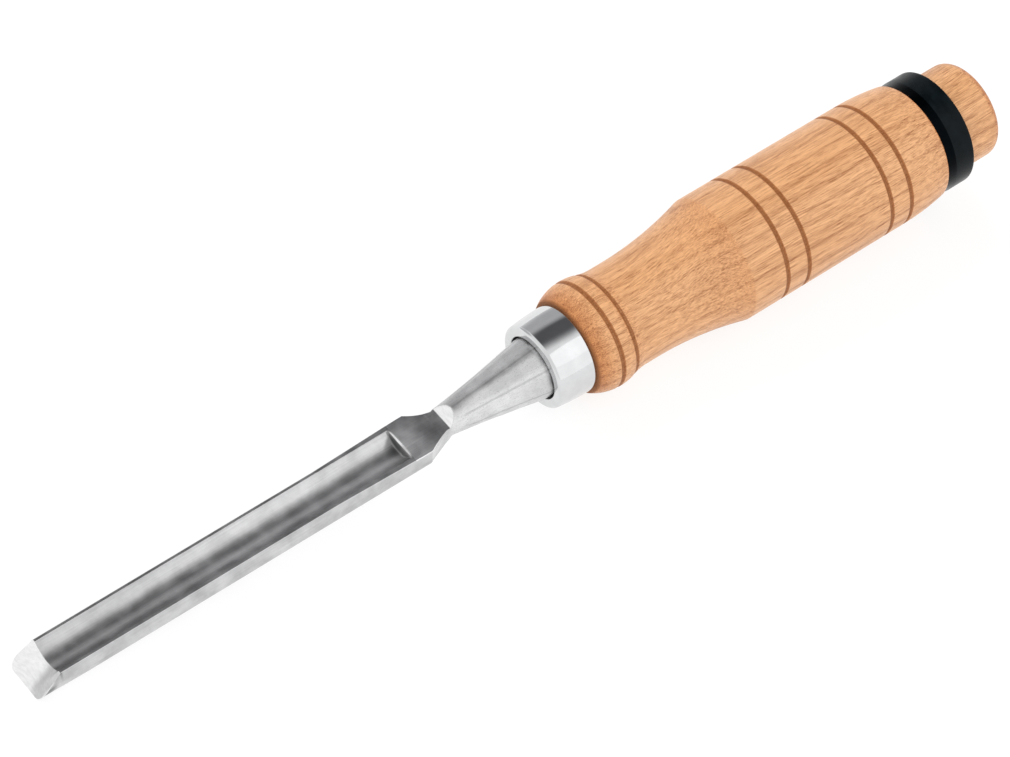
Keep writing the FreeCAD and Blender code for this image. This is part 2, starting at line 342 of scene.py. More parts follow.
def finished(mesh, name, materials, sharp_degrees=40.0):
    """Cleans a mesh and makes it an object with these materials, still in the tool's space."""
    bmesh.ops.remove_doubles(mesh, verts=mesh.verts, dist=1e-6)
    bmesh.ops.dissolve_degenerate(mesh, edges=mesh.edges, dist=1e-7)
    bmesh.ops.recalc_face_normals(mesh, faces=mesh.faces)
    piece = new_piece(mesh, name, materials)
    piece.data.shade_smooth()
    piece.data.set_sharp_from_angle(angle=math.radians(sharp_degrees))
    even = piece.modifiers.new("Even shading", "WEIGHTED_NORMAL")
    even.keep_sharp = True
    return piece


def painted(piece, title, value):
    """Stores a value at every vertex of a piece, worked out from its place in the tool's space."""
    layer = piece.data.attributes.new(title, "FLOAT", "POINT")
    for n, vertex in enumerate(piece.data.vertices):
        layer.data[n].value = value(vertex.co)


def placed(piece, stands_for):
    """Moves a piece from the tool's space into the frame, where it stands for a node."""
    piece.data.transform(TOOL)
    piece.data.update()
    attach(piece, "root")
    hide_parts(stands_for)


TURNED_POINTS = 240


def ring_of(x, radius, shape=None):
    """Loop of points round the axis; shape gives the share of the radius at an angle from the top."""
    loop = []
    for n in range(TURNED_POINTS):
        turn = 2 * math.pi * n / TURNED_POINTS
        reach = radius * (shape(turn) if shape else 1.0)
        loop.append(Vector((x, reach * math.sin(turn), reach * math.cos(turn))))
    return loop


def square(angle):
    """A square's reach at an angle, for a half width of 1."""
    return 1.0 / max(abs(math.cos(angle)), abs(math.sin(angle)))


# ---------- shader nodes

class Net:
    """A node tree, with short ways to add nodes to it."""

    def __init__(self, tree):
        self.tree = tree

    def feed(self, socket, value):
        """Links a varying value to a socket, or sets an even one on it."""
        if isinstance(value, bpy.types.NodeSocket):
            self.tree.links.new(value, socket)
        else:
            socket.default_value = (*value[:3], 1.0) if socket.type == "RGBA" else value

    def add(self, kind, inputs=None, **settings):
        """Adds a node, sets it up, and fills or links its inputs."""
        made = self.tree.nodes.new("ShaderNode" + kind)
        for key, value in settings.items():
            setattr(made, key, value)
        for key, value in (inputs or {}).items():
            self.feed(made.inputs[key], value)
        return made

    def maths(self, operation, *values, clamp=False):
        return self.add("Math", dict(enumerate(values)), operation=operation, use_clamp=clamp).outputs[0]

    def times(self, first, second, clamp=False):
        return self.maths("MULTIPLY", first, second, clamp=clamp)

    def plus(self, first, second, clamp=False):
        return self.maths("ADD", first, second, clamp=clamp)

    def minus(self, first, second, clamp=False):
        return self.maths("SUBTRACT", first, second, clamp=clamp)

    def vector(self, operation, *values):
        """Outputs of a vector sum: 0 is its vector and "Value" its number."""
        return self.add("VectorMath", dict(enumerate(values)), operation=operation).outputs

    def stretched(self, vector, factors):
        """A vector whose parts are scaled one by one."""
        return self.vector("MULTIPLY", vector, factors)[0]

    def scaled(self, base, tone):
        """A colour made brighter or darker."""
        return self.add("VectorMath", {0: (*base,), "Scale": tone}, operation="SCALE").outputs[0]

    def ranged(self, value, low, high, start=0.0, end=1.0):
        """A value carried from low..high to start..end along an S-curve."""
        inputs = {"Value": value, "From Min": low, "From Max": high, "To Min": start, "To Max": end}
        return self.add("MapRange", inputs, interpolation_type="SMOOTHSTEP").outputs[0]

    def noise(self, vector, scale=1.0, detail=2.0, roughness=0.5):
        inputs = {"Vector": vector, "Scale": scale, "Detail": detail, "Roughness": roughness}
        return self.add("TexNoise", inputs).outputs["Fac"]

    def blended(self, factor, first, second, mode="MIX"):
        """Colour between first and second."""
        inputs = {0: factor, 6: first, 7: second}
        return self.add("Mix", inputs, data_type="RGBA", blend_type=mode).outputs[2]

    def painted(self, title):
        """A value stored at the vertices."""
        return self.add("Attribute", attribute_name=title).outputs["Fac"]

    def millimetres(self):
        """The tool's space in millimetres."""
        back = TOOL.inverted()
        inputs = {
            "Vector": self.add("TexCoord").outputs["Object"],
            "Location": tuple(back.translation),
            "Rotation": tuple(back.to_euler()),
        }
        return self.stretched(self.add("Mapping", inputs).outputs[0], (1 / MM,) * 3)

    def effect(self, name, **values):
        """Places a shared effect; an underscore in a value's name stands for a space."""
        inputs = {key.replace("_", " "): value for key, value in values.items()}
        group = bpy.data.node_groups.get(name) or EFFECTS[name](name)
        return self.add("Group", node_tree=group, inputs=inputs).outputs


def new_group(name, inputs, outputs):
    """Node group with float or vector inputs, each (name, default), and float outputs."""
    tree = bpy.data.node_groups.new(name, "ShaderNodeTree")
    for title, default in inputs:
        kind = "NodeSocketVector" if default is None else "NodeSocketFloat"
        socket = tree.interface.new_socket(title, in_out="INPUT", socket_type=kind)
        if default is not None:
            socket.default_value = default
    for title in outputs:
        tree.interface.new_socket(title, in_out="OUTPUT", socket_type="NodeSocketFloat")
    entry = tree.nodes.new("NodeGroupInput").outputs
    leave = tree.nodes.new("NodeGroupOutput").inputs
    return Net(tree), entry, leave


def build_scratches(name):
    """Fine lines along the tool, as left by grinding, with a few deeper ones."""
    inputs = [("Vector", None), ("Per mm", 3.0), ("Length mm", 20.0), ("Deep", 0.3)]
    net, entry, leave = new_group(name, inputs, ["Lines", "Deep lines"])
    shorter = net.maths("DIVIDE", 1.0, entry["Length mm"])
    across = entry["Per mm"]
    factors = net.add("CombineXYZ", {"X": shorter, "Y": across, "Z": across}).outputs[0]
    place = net.stretched(entry["Vector"], factors)
    lines = net.noise(place, detail=5.0, roughness=0.65)
    few = net.noise(place, scale=0.43, detail=1.0)
    least = net.minus(0.78, net.times(entry["Deep"], 0.2))
    most = net.plus(least, 0.05)
    net.feed(leave["Lines"], lines)
    net.feed(leave["Deep lines"], net.ranged(few, least, most))
    return net.tree


def build_mottle(name):
    """Soft cloudy variation."""
    net, entry, leave = new_group(name, [("Vector", None), ("Size mm", 8.0), ("Contrast", 1.0)], ["Value"])
    scale = net.maths("DIVIDE", 1.0, entry["Size mm"])
    cloud = net.noise(entry["Vector"], scale=scale, detail=4.0, roughness=0.55)
    apart = net.times(net.minus(cloud, 0.5), entry["Contrast"])
    net.feed(leave["Value"], net.plus(apart, 0.5, clamp=True))
    return net.tree


def build_specks(name):
    """Small spots scattered over the surface."""
    net, entry, leave = new_group(name, [("Vector", None), ("Size mm", 0.3), ("Amount", 0.3)], ["Mask"])
    scale = net.maths("DIVIDE", 1.0, entry["Size mm"])
    grains = net.noise(entry["Vector"], scale=scale, detail=2.0, roughness=0.6)
    least = net.minus(0.75, net.times(entry["Amount"], 0.25))
    net.feed(leave["Mask"], net.ranged(grains, least, net.plus(least, 0.08)))
    return net.tree


def build_edge_wear(name):
    """Marks where the surface turns sharply within a radius."""
    net, entry, leave = new_group(name, [("Vector", None), ("Radius mm", 0.2), ("Amount", 1.0)], ["Mask"])
    radius = net.times(entry["Radius mm"], MM)
    softened = net.add("Bevel", {"Radius": radius}, samples=6).outputs[0]
    normal = net.add("NewGeometry").outputs["Normal"]
    alike = net.vector("DOT_PRODUCT", softened, normal)["Value"]
    worn = net.ranged(net.minus(1.0, alike), 0.005, 0.08)
    uneven = net.noise(entry["Vector"], scale=1.3, detail=3.0)
    patchy = net.ranged(uneven, 0.30, 0.62)
    worn = net.times(worn, patchy)
    net.feed(leave["Mask"], net.times(worn, entry["Amount"], clamp=True))
    return net.tree


EFFECTS = {
    "Scratches": build_scratches,
    "Mottle": build_mottle,
    "Specks": build_specks,
    "Edge wear": build_edge_wear,
}


def new_material(name):
    """Material, its nodes and the sockets of its Principled shader."""
    material = bpy.data.materials.new(name)
    material.use_nodes = True
    tree = material.node_tree
    return material, Net(tree), tree.nodes["Principled BSDF"].inputs


def relief(net, shader, height, distance):
    """Surface relief of this depth in metres."""
    net.feed(shader["Normal"], net.add("Bump", {"Height": height, "Distance": distance}).outputs[0])


# ---------- materials

def steel_material(
    name, base, roughness, line_depth,
    along=True, mottle=0.25, specks=0.0, wear=0.15, ridge_lines=0.0, ridge_lines_from=0.0,
):
    """Ground or forged steel: fine lines, cloudy tone, specks, brighter worn edges, darker lines along the
    bolster's ridges, and the painted light and shade of the tone attribute.
    """
    material, net, shader = new_material(name)
    place = net.millimetres()
    across = place if along else net.stretched(place, (14.0, 0.12, 0.6))
    lines = net.effect("Scratches", Vector=across, Per_mm=4.0, Length_mm=14.0, Deep=0.4)
    cloud = net.effect("Mottle", Vector=place, Size_mm=5.0, Contrast=1.6)["Value"]
    spots = net.effect("Specks", Vector=place, Size_mm=0.22, Amount=specks)["Mask"]
    worn = net.effect("Edge wear", Vector=place, Radius_mm=0.16, Amount=wear)["Mask"]
    # The tone attribute holds painted light and shade: above 1 a painted highlight, below 1 painted shade
    painted_light_and_shade = net.painted("tone")
    cloudy = net.ranged(cloud, 0.0, 1.0, 1.0 - mottle, 1.0 + mottle / 2)
    tone = net.times(painted_light_and_shade, cloudy)
    # Darker lines along the ridges between the bolster's flats
    if ridge_lines:
        part = net.add("SeparateXYZ", {0: place}).outputs
        around = net.maths("ABSOLUTE", net.maths("ARCTAN2", part["Y"], part["Z"]))
        squares = [net.maths("POWER", part[side], 2.0) for side in ("Y", "Z")]
        radius = net.maths("SQRT", net.plus(*squares))
        off = net.times(net.maths("PINGPONG", around, math.pi / 8), radius)
        start = ridge_lines_from / MM
        back_of_neck = net.ranged(part["X"], start, start + 3.0, 0.0, ridge_lines)
        line = net.times(net.ranged(off, 0.05, 0.42, 1.0, 0.0), back_of_neck)
        tone = net.times(tone, net.minus(1.0, line))
    lined = net.ranged(lines["Lines"], 0.25, 0.75, 0.90, 1.06)
    tone = net.times(tone, lined)
    tone = net.times(tone, net.ranged(spots, 0.0, 1.0, 1.0, 0.72))
    net.feed(shader["Base Color"], net.blended(worn, net.scaled(base, tone), (0.92, 0.92, 0.92)))
    shader["Metallic"].default_value = 1.0
    rough = net.ranged(cloud, 0.0, 1.0, roughness * 0.85, roughness * 1.2)
    rough = net.plus(rough, net.times(spots, 0.12))
    net.feed(shader["Roughness"], rough)
    height = net.minus(lines["Lines"], net.times(spots, 0.6))
    height = net.minus(height, net.times(lines["Deep lines"], 0.5))
    relief(net, shader, height, line_depth)
    return material


def chrome_material(base):
    """Bright plating with faint smudges and hairline marks."""
    material, net, shader = new_material("ferrule_chrome")
    place = net.millimetres()
    cloud = net.effect("Mottle", Vector=place, Size_mm=3.5, Contrast=1.8)["Value"]
    along = net.stretched(place, (6.0, 0.4, 0.4))
    lines = net.effect("Scratches", Vector=along, Per_mm=3.0, Length_mm=6.0)
    tone = net.ranged(cloud, 0.0, 1.0, 0.94, 1.03)
    net.feed(shader["Base Color"], net.scaled(base, tone))
    shader["Metallic"].default_value = 1.0
    net.feed(shader["Roughness"], net.ranged(cloud, 0.25, 0.9, 0.045, 0.10))
    relief(net, shader, net.plus(lines["Lines"], net.times(cloud, 2.0)), 0.4e-6)
    return material


def wood_material(settings):
    """Lacquered hardwood whose fibres run along the tool, scorched in the grooves, with painted shade at the
    ferrule and on the wood hidden inside it.
    """
    material, net, shader = new_material("handle_wood")
    place = net.millimetres()
    slow = {"Vector": net.stretched(place, (0.012, 0.03, 0.03)), "Scale": 1.0, "Detail": 2.0}
    wander = net.add("TexNoise", slow).outputs["Color"]
    drift = net.vector("SUBTRACT", wander, (0.5, 0.5, 0.5))[0]
    drift = net.stretched(drift, (0.0, 7.0, 7.0))
    fibres = net.vector("ADD", place, drift)[0]

    # Growth rings round a pith that lies outside the handle
    from_pith = net.vector("ADD", fibres, (0.0, 31.0, 24.0))[0]
    flat = net.stretched(from_pith, (0.0, 1.0, 1.0))
    distance = net.vector("LENGTH", flat)["Value"]
    rings = net.maths("FRACT", net.maths("DIVIDE", distance, 2.9))
    late = net.ranged(rings, 0.55, 0.97)
    early = net.ranged(rings, 0.0, 0.08, 1.0, 0.0)
    ring_tone = net.maths("MAXIMUM", late, early)

    # Streaks of three sizes; a scale is per millimetre, first along the fibres and then across them
    broad = net.noise(net.stretched(fibres, (0.012, 0.42, 0.42)), detail=3.0)
    fine = net.noise(net.stretched(fibres, (0.07, 4.2, 4.2)), detail=5.0, roughness=0.7)
    hair = net.noise(net.stretched(fibres, (0.14, 7.0, 7.0)), detail=2.0, roughness=0.6)
    dashes = net.stretched(fibres, (0.10, 1.0, 1.0))
    pores = net.effect("Specks", Vector=dashes, Size_mm=0.33, Amount=0.85)["Mask"]

    # Where the surface cuts across the fibres it is darker and more orange
    normal = net.add("TexCoord").outputs["Normal"]
    lean = net.vector("DOT_PRODUCT", normal, tuple(AXIS))["Value"]
    end_grain = net.ranged(net.maths("ABSOLUTE", lean), 0.06, 0.62)

    streak = None
    for value, low, high, weight in (
        (fine, 0.40, 0.62, 0.38), (hair, 0.40, 0.66, 0.36), (broad, 0.42, 0.68, 0.18),
        (ring_tone, 0.0, 1.0, 0.17), (pores, 0.0, 1.0, 0.24), (end_grain, 0.0, 1.0, 0.14),
    ):
        part = net.times(net.ranged(value, low, high), weight)
        streak = net.plus(streak, part) if streak else part
    streak = net.minus(streak, 0.13, clamp=True)
    wood = net.blended(streak, settings.light_wood, settings.dark_wood)
    warm = net.blended(1.0, wood, (0.86, 0.66, 0.46), mode="MULTIPLY")
    wood = net.blended(end_grain, wood, warm)

    # The scorch attribute holds the burned grooves and painted shade: a thin dark band at the ferrule, and 2
    # on wood hidden inside the ferrule
    burn_and_shade = net.painted("scorch_and_shade")
    ragged = net.times(burn_and_shade, net.ranged(fine, 0.25, 0.75, 0.75, 1.15), clamp=True)
    scorched = net.blended(ragged, wood, settings.scorch_and_shade)
    # Wood hidden inside the ferrule is painted near black as shade
    hidden_shade = net.ranged(burn_and_shade, 1.0, 2.0)
    net.feed(shader["Base Color"], net.blended(hidden_shade, scorched, (0.004, 0.003, 0.002)))
    rough = net.ranged(streak, 0.0, 1.0, 0.36, 0.50)
    net.feed(shader["Roughness"], net.plus(rough, net.times(ragged, 0.2)))
    shader["IOR"].default_value = 1.48
    shader["Coat Roughness"].default_value = 0.28
    shader["Specular IOR Level"].default_value = 0.35
    net.feed(shader["Coat Weight"], net.ranged(ragged, 0.0, 1.0, 0.10, 0.02))
    height = net.times(net.plus(fine, hair), -1.0)
    height = net.minus(height, net.times(pores, 0.9))
    relief(net, shader, height, 0.03 * MM)
    return material


def black_material(base):
    """Glossy black finish on steel with faint scuffs and worn edges, and painted shade on the front band
    through the tone attribute.
    """
    material, net, shader = new_material("ring_black")
    place = net.millimetres()
    cloud = net.effect("Mottle", Vector=place, Size_mm=4.0, Contrast=1.8)["Value"]
    along = net.stretched(place, (5.0, 0.35, 0.35))
    lines = net.effect("Scratches", Vector=along, Per_mm=2.5, Length_mm=5.0)
    specks = net.effect("Specks", Vector=place, Size_mm=0.25, Amount=0.12)["Mask"]
    worn = net.effect("Edge wear", Vector=place, Radius_mm=0.18, Amount=0.25)["Mask"]
    # The tone attribute paints shade on the front band: there it darkens the colour and makes the finish
    # mostly metallic
    front = net.painted("tone")
    tone = net.blended(net.times(cloud, front), (0.001, 0.0015, 0.002), base)
    tone = net.blended(net.times(specks, 0.4), tone, (0.06, 0.065, 0.07))
    net.feed(shader["Base Color"], net.blended(worn, tone, (0.10, 0.105, 0.11)))
    rough = net.ranged(cloud, 0.2, 0.8, 0.24, 0.36)
    net.feed(shader["Roughness"], net.plus(rough, net.times(specks, 0.2)))
    net.feed(shader["Metallic"], net.ranged(front, 0.0, 1.0, 1.0, 0.0))
    shader["Specular IOR Level"].default_value = 0.08
    relief(net, shader, net.plus(lines["Lines"], cloud), 2e-6)
    return material


def floor_material(base, glow):
    """Plain pale floor, lit from within so that shadows on it stay faint."""
    material, net, shader = new_material("pale_floor")
    place = net.add("TexCoord").outputs["Object"]
    cloud = net.noise(place, scale=3.0, detail=3.0)
    net.feed(shader["Base Color"], net.blended(cloud, base, tuple(part * 1.03 for part in base)))
    shader["Roughness"].default_value = 0.9
    shader["Specular IOR Level"].default_value = 0.1
    shader["Emission Color"].default_value = (1.0, 1.0, 1.0, 1.0)
    shader["Emission Strength"].default_value = glow
    return material


# ---------- blade

def blade_places(b):
    """Where the blade's features lie along the tool."""
    shoulder = EDGE_X + b.length
    pad_end = shoulder + b.shoulder
    return SimpleNamespace(
        bevel=EDGE_X + b.bevel,
        flute_end=shoulder - b.flute_end_gap,
        shoulder=shoulder,
        pad_end=pad_end,
        nose=pad_end + b.step / 2,
        collar=TENON_X - b.collar,
    )


def half_width(b, at, x):
    """Half the blade's width, which bows in along the shoulder."""
    if x <= at.shoulder:
        return b.width / 2
    t = min((x - at.shoulder) / b.shoulder, 1.0)
    return bow(b.width / 2, b.neck / 2, -b.neck_bulge, t)


def underside(b, at, x):
    """Level of the blade's underside, which rises along the shoulder."""
    level = b.top - b.depth
    t = min(max((x - at.shoulder) / b.shoulder, 0.0), 1.0)
    return mix(level, -b.front_radius, t)


def lean(b, at, x):
    """How much of the sides' lean is left: all of it along the blade, none before the shoulder."""
    end = at.shoulder - b.lean_end_gap
    return min(max((end - x) / b.lean_runout, 0.0), 1.0)


FLUTE_POINTS = 20
RIM_EASE = 0.14 * MM
SIDE_EASE = 0.25 * MM
LEAST_LEAN = 0.12     # share of the leaning part's height that stays behind the runout
NECK_ROUNDING = 0.35  # share of the lower rounding that is left at the neck
TIP_ROUNDING = 1.32   # growth of the lower rounding at the edge, which fades over TIP_FADE
TIP_FADE = 14.0 * MM
BLUNT = 0.03 * MM     # thickness of the cutting edge
NOSE = 2.6 * MM       # length of the bolster's rounded nose
NOSE_FALL = 1.0 * MM  # how far the nose has fallen at its front
POINT = 0.35          # share of the nose that drops away further, into the bar
POINT_FALL = 3.0 * MM
BAR_LEFT = 0.55       # what is left of the bar's size inside the nose
BAR_TOP_EASE = 0.22 * MM
BAR_LOW_EASE = 1.0 * MM
BODY_EASE = 0.8 * MM  # between the bar and the bolster
SLOPE_EASE = 0.16 * MM
RIDGE_EASE = 0.004    # softness of the ridges between the flats, over the radius
FACET_FADE = 14.0 * MM
LIP = 0.31 * MM       # width of the worn lip of the flute's end wall
WALL = 0.92 * MM      # from the top of that wall to its foot

# Painted light and shade on the steel, as factors where 1 is plain steel: less is painted shade, more is a
# painted highlight
FACET_SHADE = 0.74   # right-hand part of the grind
# painted highlight along the burr
BURR_HIGHLIGHT = 1.10
BESIDE_SHADE = 0.42  # dark strip beyond the burr
MIRROR_TONE = 0.42  # dark mirror image in the flute's end
# painted highlight on the lip of the flute's end wall
LIP_HIGHLIGHT = 1.4
FLUTE_SHADE = 0.86   # flute at the grind; it brightens towards the neck
# painted highlight near the flute's end, painted shade at the neck
PAD_LIGHT_AND_SHADE = (1.45, 0.95)

# The flute's end wall as (distance before it in millimetres, how far it has filled the flute):
# a small hollow at its foot, a steep face and a worn lip
END_WALL = (
    (1.05, 0.006), (0.90, 0.03), (0.78, 0.10), (0.68, 0.24), (0.60, 0.42), (0.53, 0.58), (0.45, 0.72),
    (0.36, 0.82), (0.30, 0.87), (0.20, 0.915), (0.10, 0.955), (0.00, 0.985), (-0.08, 1.0),
)


def bar_side(b, at, x):
    """Right side of the bar's section from the rim down to the middle of the underside."""
    half = half_width(b, at, x)
    low = underside(b, at, x)
    left = lean(b, at, x)
    inset = b.rim_inset * left
    lean_depth = b.lean_depth * max(left, LEAST_LEAN)
    narrow = half / (b.width / 2)
    rounding = b.lower_rounding * mix(NECK_ROUNDING, 1.0, smooth(narrow * 2.2 - 1.2))
    rounding *= mix(TIP_ROUNDING, 1.0, smooth((x - EDGE_X) / TIP_FADE))
    rim = half - inset
    return outline(
        (rim - 0.3 * b.land, b.top),
        (rim, b.top, RIM_EASE, 4),
        (half, b.top - lean_depth, SIDE_EASE, 4),
        (half, low, rounding, 9),
        (0.75 * (half - rounding), low),
        (0.5 * (half - rounding), low),
        (0.25 * (half - rounding), low),
        (0.0, low),
    )[1:]


def flute_top(half, edge, bottom):
    """Points from the middle of a round hollow out to its edge."""
    sag = max(edge - bottom, 1e-7)
    radius = arc_radius(half, sag)
    return [Vector((y, bottom + arc_fall(y, radius))) for y in spread(0.0, half, FLUTE_POINTS)]


def land_points(start, end):
    return [start.lerp(end, t) for t in (0.08, 0.35, 0.65, 0.85, 0.95)]


def whole_loop(x, right):
    """Closed loop from the right half of a section, which runs from the top's middle to the underside's."""
    left = [Vector((-point.x, point.y)) for point in reversed(right[1:-1])]
    return [Vector((x, -point.x, point.y)) for point in right + left]


def bar_loop(b, at, x, fill=0.0):
    """Section of the fluted bar; fill closes the flute, from 0, open, to 1, flat."""
    side = bar_side(b, at, x)
    rim = half_width(b, at, x) - b.rim_inset * lean(b, at, x)
    edge = min(rim, b.width / 2 - b.rim_inset) - b.land
    hollow = flute_top(edge, b.top, b.top - b.flute_depth * (1.0 - fill))
    return whole_loop(x, hollow + land_points(hollow[-1], side[0]) + side)


def bevel_loop(b, at, x):
    """Section through the grind, whose surface drops from the flute to the cutting edge."""
    share_down = (at.bevel - x) / b.bevel
    low = b.top - b.depth
    rim = b.width / 2 - b.rim_inset
    edge = Vector((rim - b.land, b.top)).lerp(Vector((b.width / 2 - b.edge_corner, low + BLUNT)), share_down)
    outer = Vector((rim, b.top)).lerp(
        Vector((b.width / 2 + b.edge_rise, low + b.edge_rise + BLUNT)), share_down
    )
    bottom = mix(b.top - b.flute_depth, low + BLUNT, share_down)
    hollow = flute_top(edge.x, edge.y, bottom)
    slope = (outer.y - edge.y) / (outer.x - edge.x)

    def above(point):
        return point.y - (edge.y + (point.x - edge.x) * slope)

    side = bar_side(b, at, x)
    first = next(n for n, point in enumerate(side) if above(point) < -1e-9)
    if first:
        high, under = side[first - 1], side[first]
        cut = high.lerp(under, above(high) / (above(high) - above(under)))
        side = [cut.copy() for _ in range(first)] + side[first:]
    return whole_loop(x, hollow + land_points(edge, side[0]) + side)


def cone_radius(b, at, x):
    """Radius of the bolster, from its rounded nose to the collar."""
    if x < at.nose:
        t = min(max((x - at.nose) / NOSE + 1.0, 0.0), 1.0)
        return b.front_radius - NOSE_FALL * (1.0 - t) ** 2 - POINT_FALL * max(0.0, POINT - t)
    if x < at.collar:
        t = (x - at.nose) / (at.collar - at.nose)
        return bow(b.front_radius, b.rear_radius, -b.hollow, t)
    return b.rear_radius


def facets(b, angle):
    """Share of the bolster's radius at an angle: eight soft flats, one ridge on top."""
    step = math.pi / 4
    off = (angle % step) - step / 2
    flat = b.facet / math.cos(off)
    return -soft_max(-1.0, -flat, RIDGE_EASE)


def soft_max(a, b, width):
    """The larger of two values, rounded where they are within a width of each other."""
    near = max(width - abs(a - b), 0.0) / width
    return max(a, b) + near * near * width / 4.0


def bolster_reach(b, at, x, angle):
    """Distance from the tool's axis to the surface of the neck and bolster, at an angle from the top."""
    fade = smooth((x - at.pad_end) / FACET_FADE)
    around = mix(1.0, facets(b, angle), fade)
    cone = cone_radius(b, at, x) * around
    across = max(abs(math.sin(angle)), 1e-6)
    up = math.cos(angle)
    shrink = mix(1.0, BAR_LEFT, smooth((x - at.pad_end) / NOSE))
    half = half_width(b, at, x) * shrink
    low = -underside(b, at, x) * shrink
    level = (b.top if up > 0 else low) / max(abs(up), 1e-6)
    edge = BAR_TOP_EASE if up > 0 else BAR_LOW_EASE
    bar = -soft_max(-half / across, -level, edge)
    body = soft_max(cone, bar, BODY_EASE)
    if up <= 0:
        return body
    rise = (b.front_radius - b.top) / b.step
    slope = (b.top + max(0.0, x - at.pad_end) * rise) / up
    return -soft_max(-body, -slope, SLOPE_EASE)


def turned_loop(b, at, x, angles):
    """Section of the neck and bolster."""
    loop = []
    for angle in angles:
        reach = bolster_reach(b, at, x, angle)
        loop.append(Vector((x, -reach * math.sin(angle), reach * math.cos(angle))))
    return loop


def straighten_right(b, at, loop):
    """The right shoulder is ground straighter than the left one."""
    t = (loop[0].x - at.shoulder) / b.shoulder
    if 0.0 < t < 1.0:
        half = half_width(b, at, loop[0].x)
        for point in loop:
            if point.y < 0:
                point.y *= 1.0 + 4.0 * b.right_fill * t * (1.0 - t) / half


def painted_grind_light(b, at, x, y, z):
    """Painted light and shade round the grind: painted shade on the right-hand facet, a painted highlight
    along the burr and a painted dark line of shade beyond it.
    """
    down = min(max((at.bevel - x) / b.bevel, 0.0), 1.0)
    inner = mix(b.width / 2 - b.rim_inset - b.land, b.width / 2 - b.edge_corner, down)
    inner_z = mix(b.top, b.top - b.depth, down)
    outer_z = mix(b.top, b.top - b.depth + b.edge_rise, down)
    outer = mix(b.width / 2 - b.rim_inset, b.width / 2 + b.edge_rise, down)
    facet_z = inner_z + (abs(y) - inner) * (outer_z - inner_z) / (outer - inner)
    if abs(y) < inner or (x < at.bevel and z > facet_z - 0.04 * MM):
        out = smooth((-y - 0.9 * MM) / (1.9 * MM))
        burr = smooth((-y - b.width / 2 + 0.45 * MM) / (0.2 * MM)) * out
        return mix(mix(1.0, FACET_SHADE, out), BURR_HIGHLIGHT, burr)
    low_z = b.top - b.depth + 0.7 * b.edge_rise
    side_down = min(max((b.top - z) / (b.top - low_z), 0.0), 1.0)
    past = x - (at.bevel - b.bevel * side_down)
    width = mix(0.7, 4.6, side_down) * MM
    if y < 0 and z < b.top - 0.05 * MM:
        return mix(BESIDE_SHADE, 1.0, smooth((past / width - 0.3) / 0.7))
    return 1.0


def painted_blade_light(b, at, co):
    """Painted light and shade on the steel at a point: 1 is plain, less is painted shade, more is a painted
    highlight.
    """
    x, y, z = co
    rim = b.width / 2 - b.rim_inset - b.land
    beside = abs(y) > rim - 0.01 * MM or z > b.top - 0.02 * MM or z < b.top - b.depth / 2
    if x < at.bevel + 0.01 * MM or (beside and x < at.bevel + 3.0 * MM):
        return painted_grind_light(b, at, x, y, z)
    before_wall = at.flute_end - x
    # A painted dark reflection gathers in front of the end wall, the steep wall is painted in shade, and the
    # wall's lip gets a painted highlight
    if -0.01 * MM < before_wall < 5 * MM and abs(y) < rim and b.top - b.depth / 2 < z < b.top - 0.02 * MM:
        border = rim - 0.1 * MM - 0.75 * before_wall
        dark = smooth((border - y) / (0.9 * MM) + 0.5) * smooth((y + 2.6 * MM) / (2.2 * MM))
        dark *= 1.0 - smooth((before_wall - 1.6 * MM) / (3.0 * MM))
        steep = 1.0 if LIP < before_wall < WALL else 0.0
        lip = 1.0 if before_wall < LIP else 0.0
        shaded = mix(1.0, MIRROR_TONE, max(dark, 0.8 * steep))
        return mix(shaded, LIP_HIGHLIGHT, lip * smooth((y + 2.4 * MM) / (2.6 * MM)))
    # Painted shade in the flute, darkest at the grind and fading towards the neck
    if before_wall > 0 and abs(y) < rim and b.top - b.depth / 2 < z < b.top - 0.02 * MM:
        return mix(FLUTE_SHADE, 1.0, smooth((x - at.bevel) / (60 * MM)))
    # Painted light and shade on the pad: a painted highlight near the flute's end that turns to painted
    # shade towards the neck
    if before_wall < 0 and x <= at.pad_end:
        t = (x - at.flute_end) / (at.pad_end - at.flute_end)
        pad = mix(*PAD_LIGHT_AND_SHADE, smooth(t * 1.25 + 0.25 * y / b.width))
        return mix(1.0, pad, smooth((z - b.top + 0.5 * MM) / (0.4 * MM)))
    return 1.0


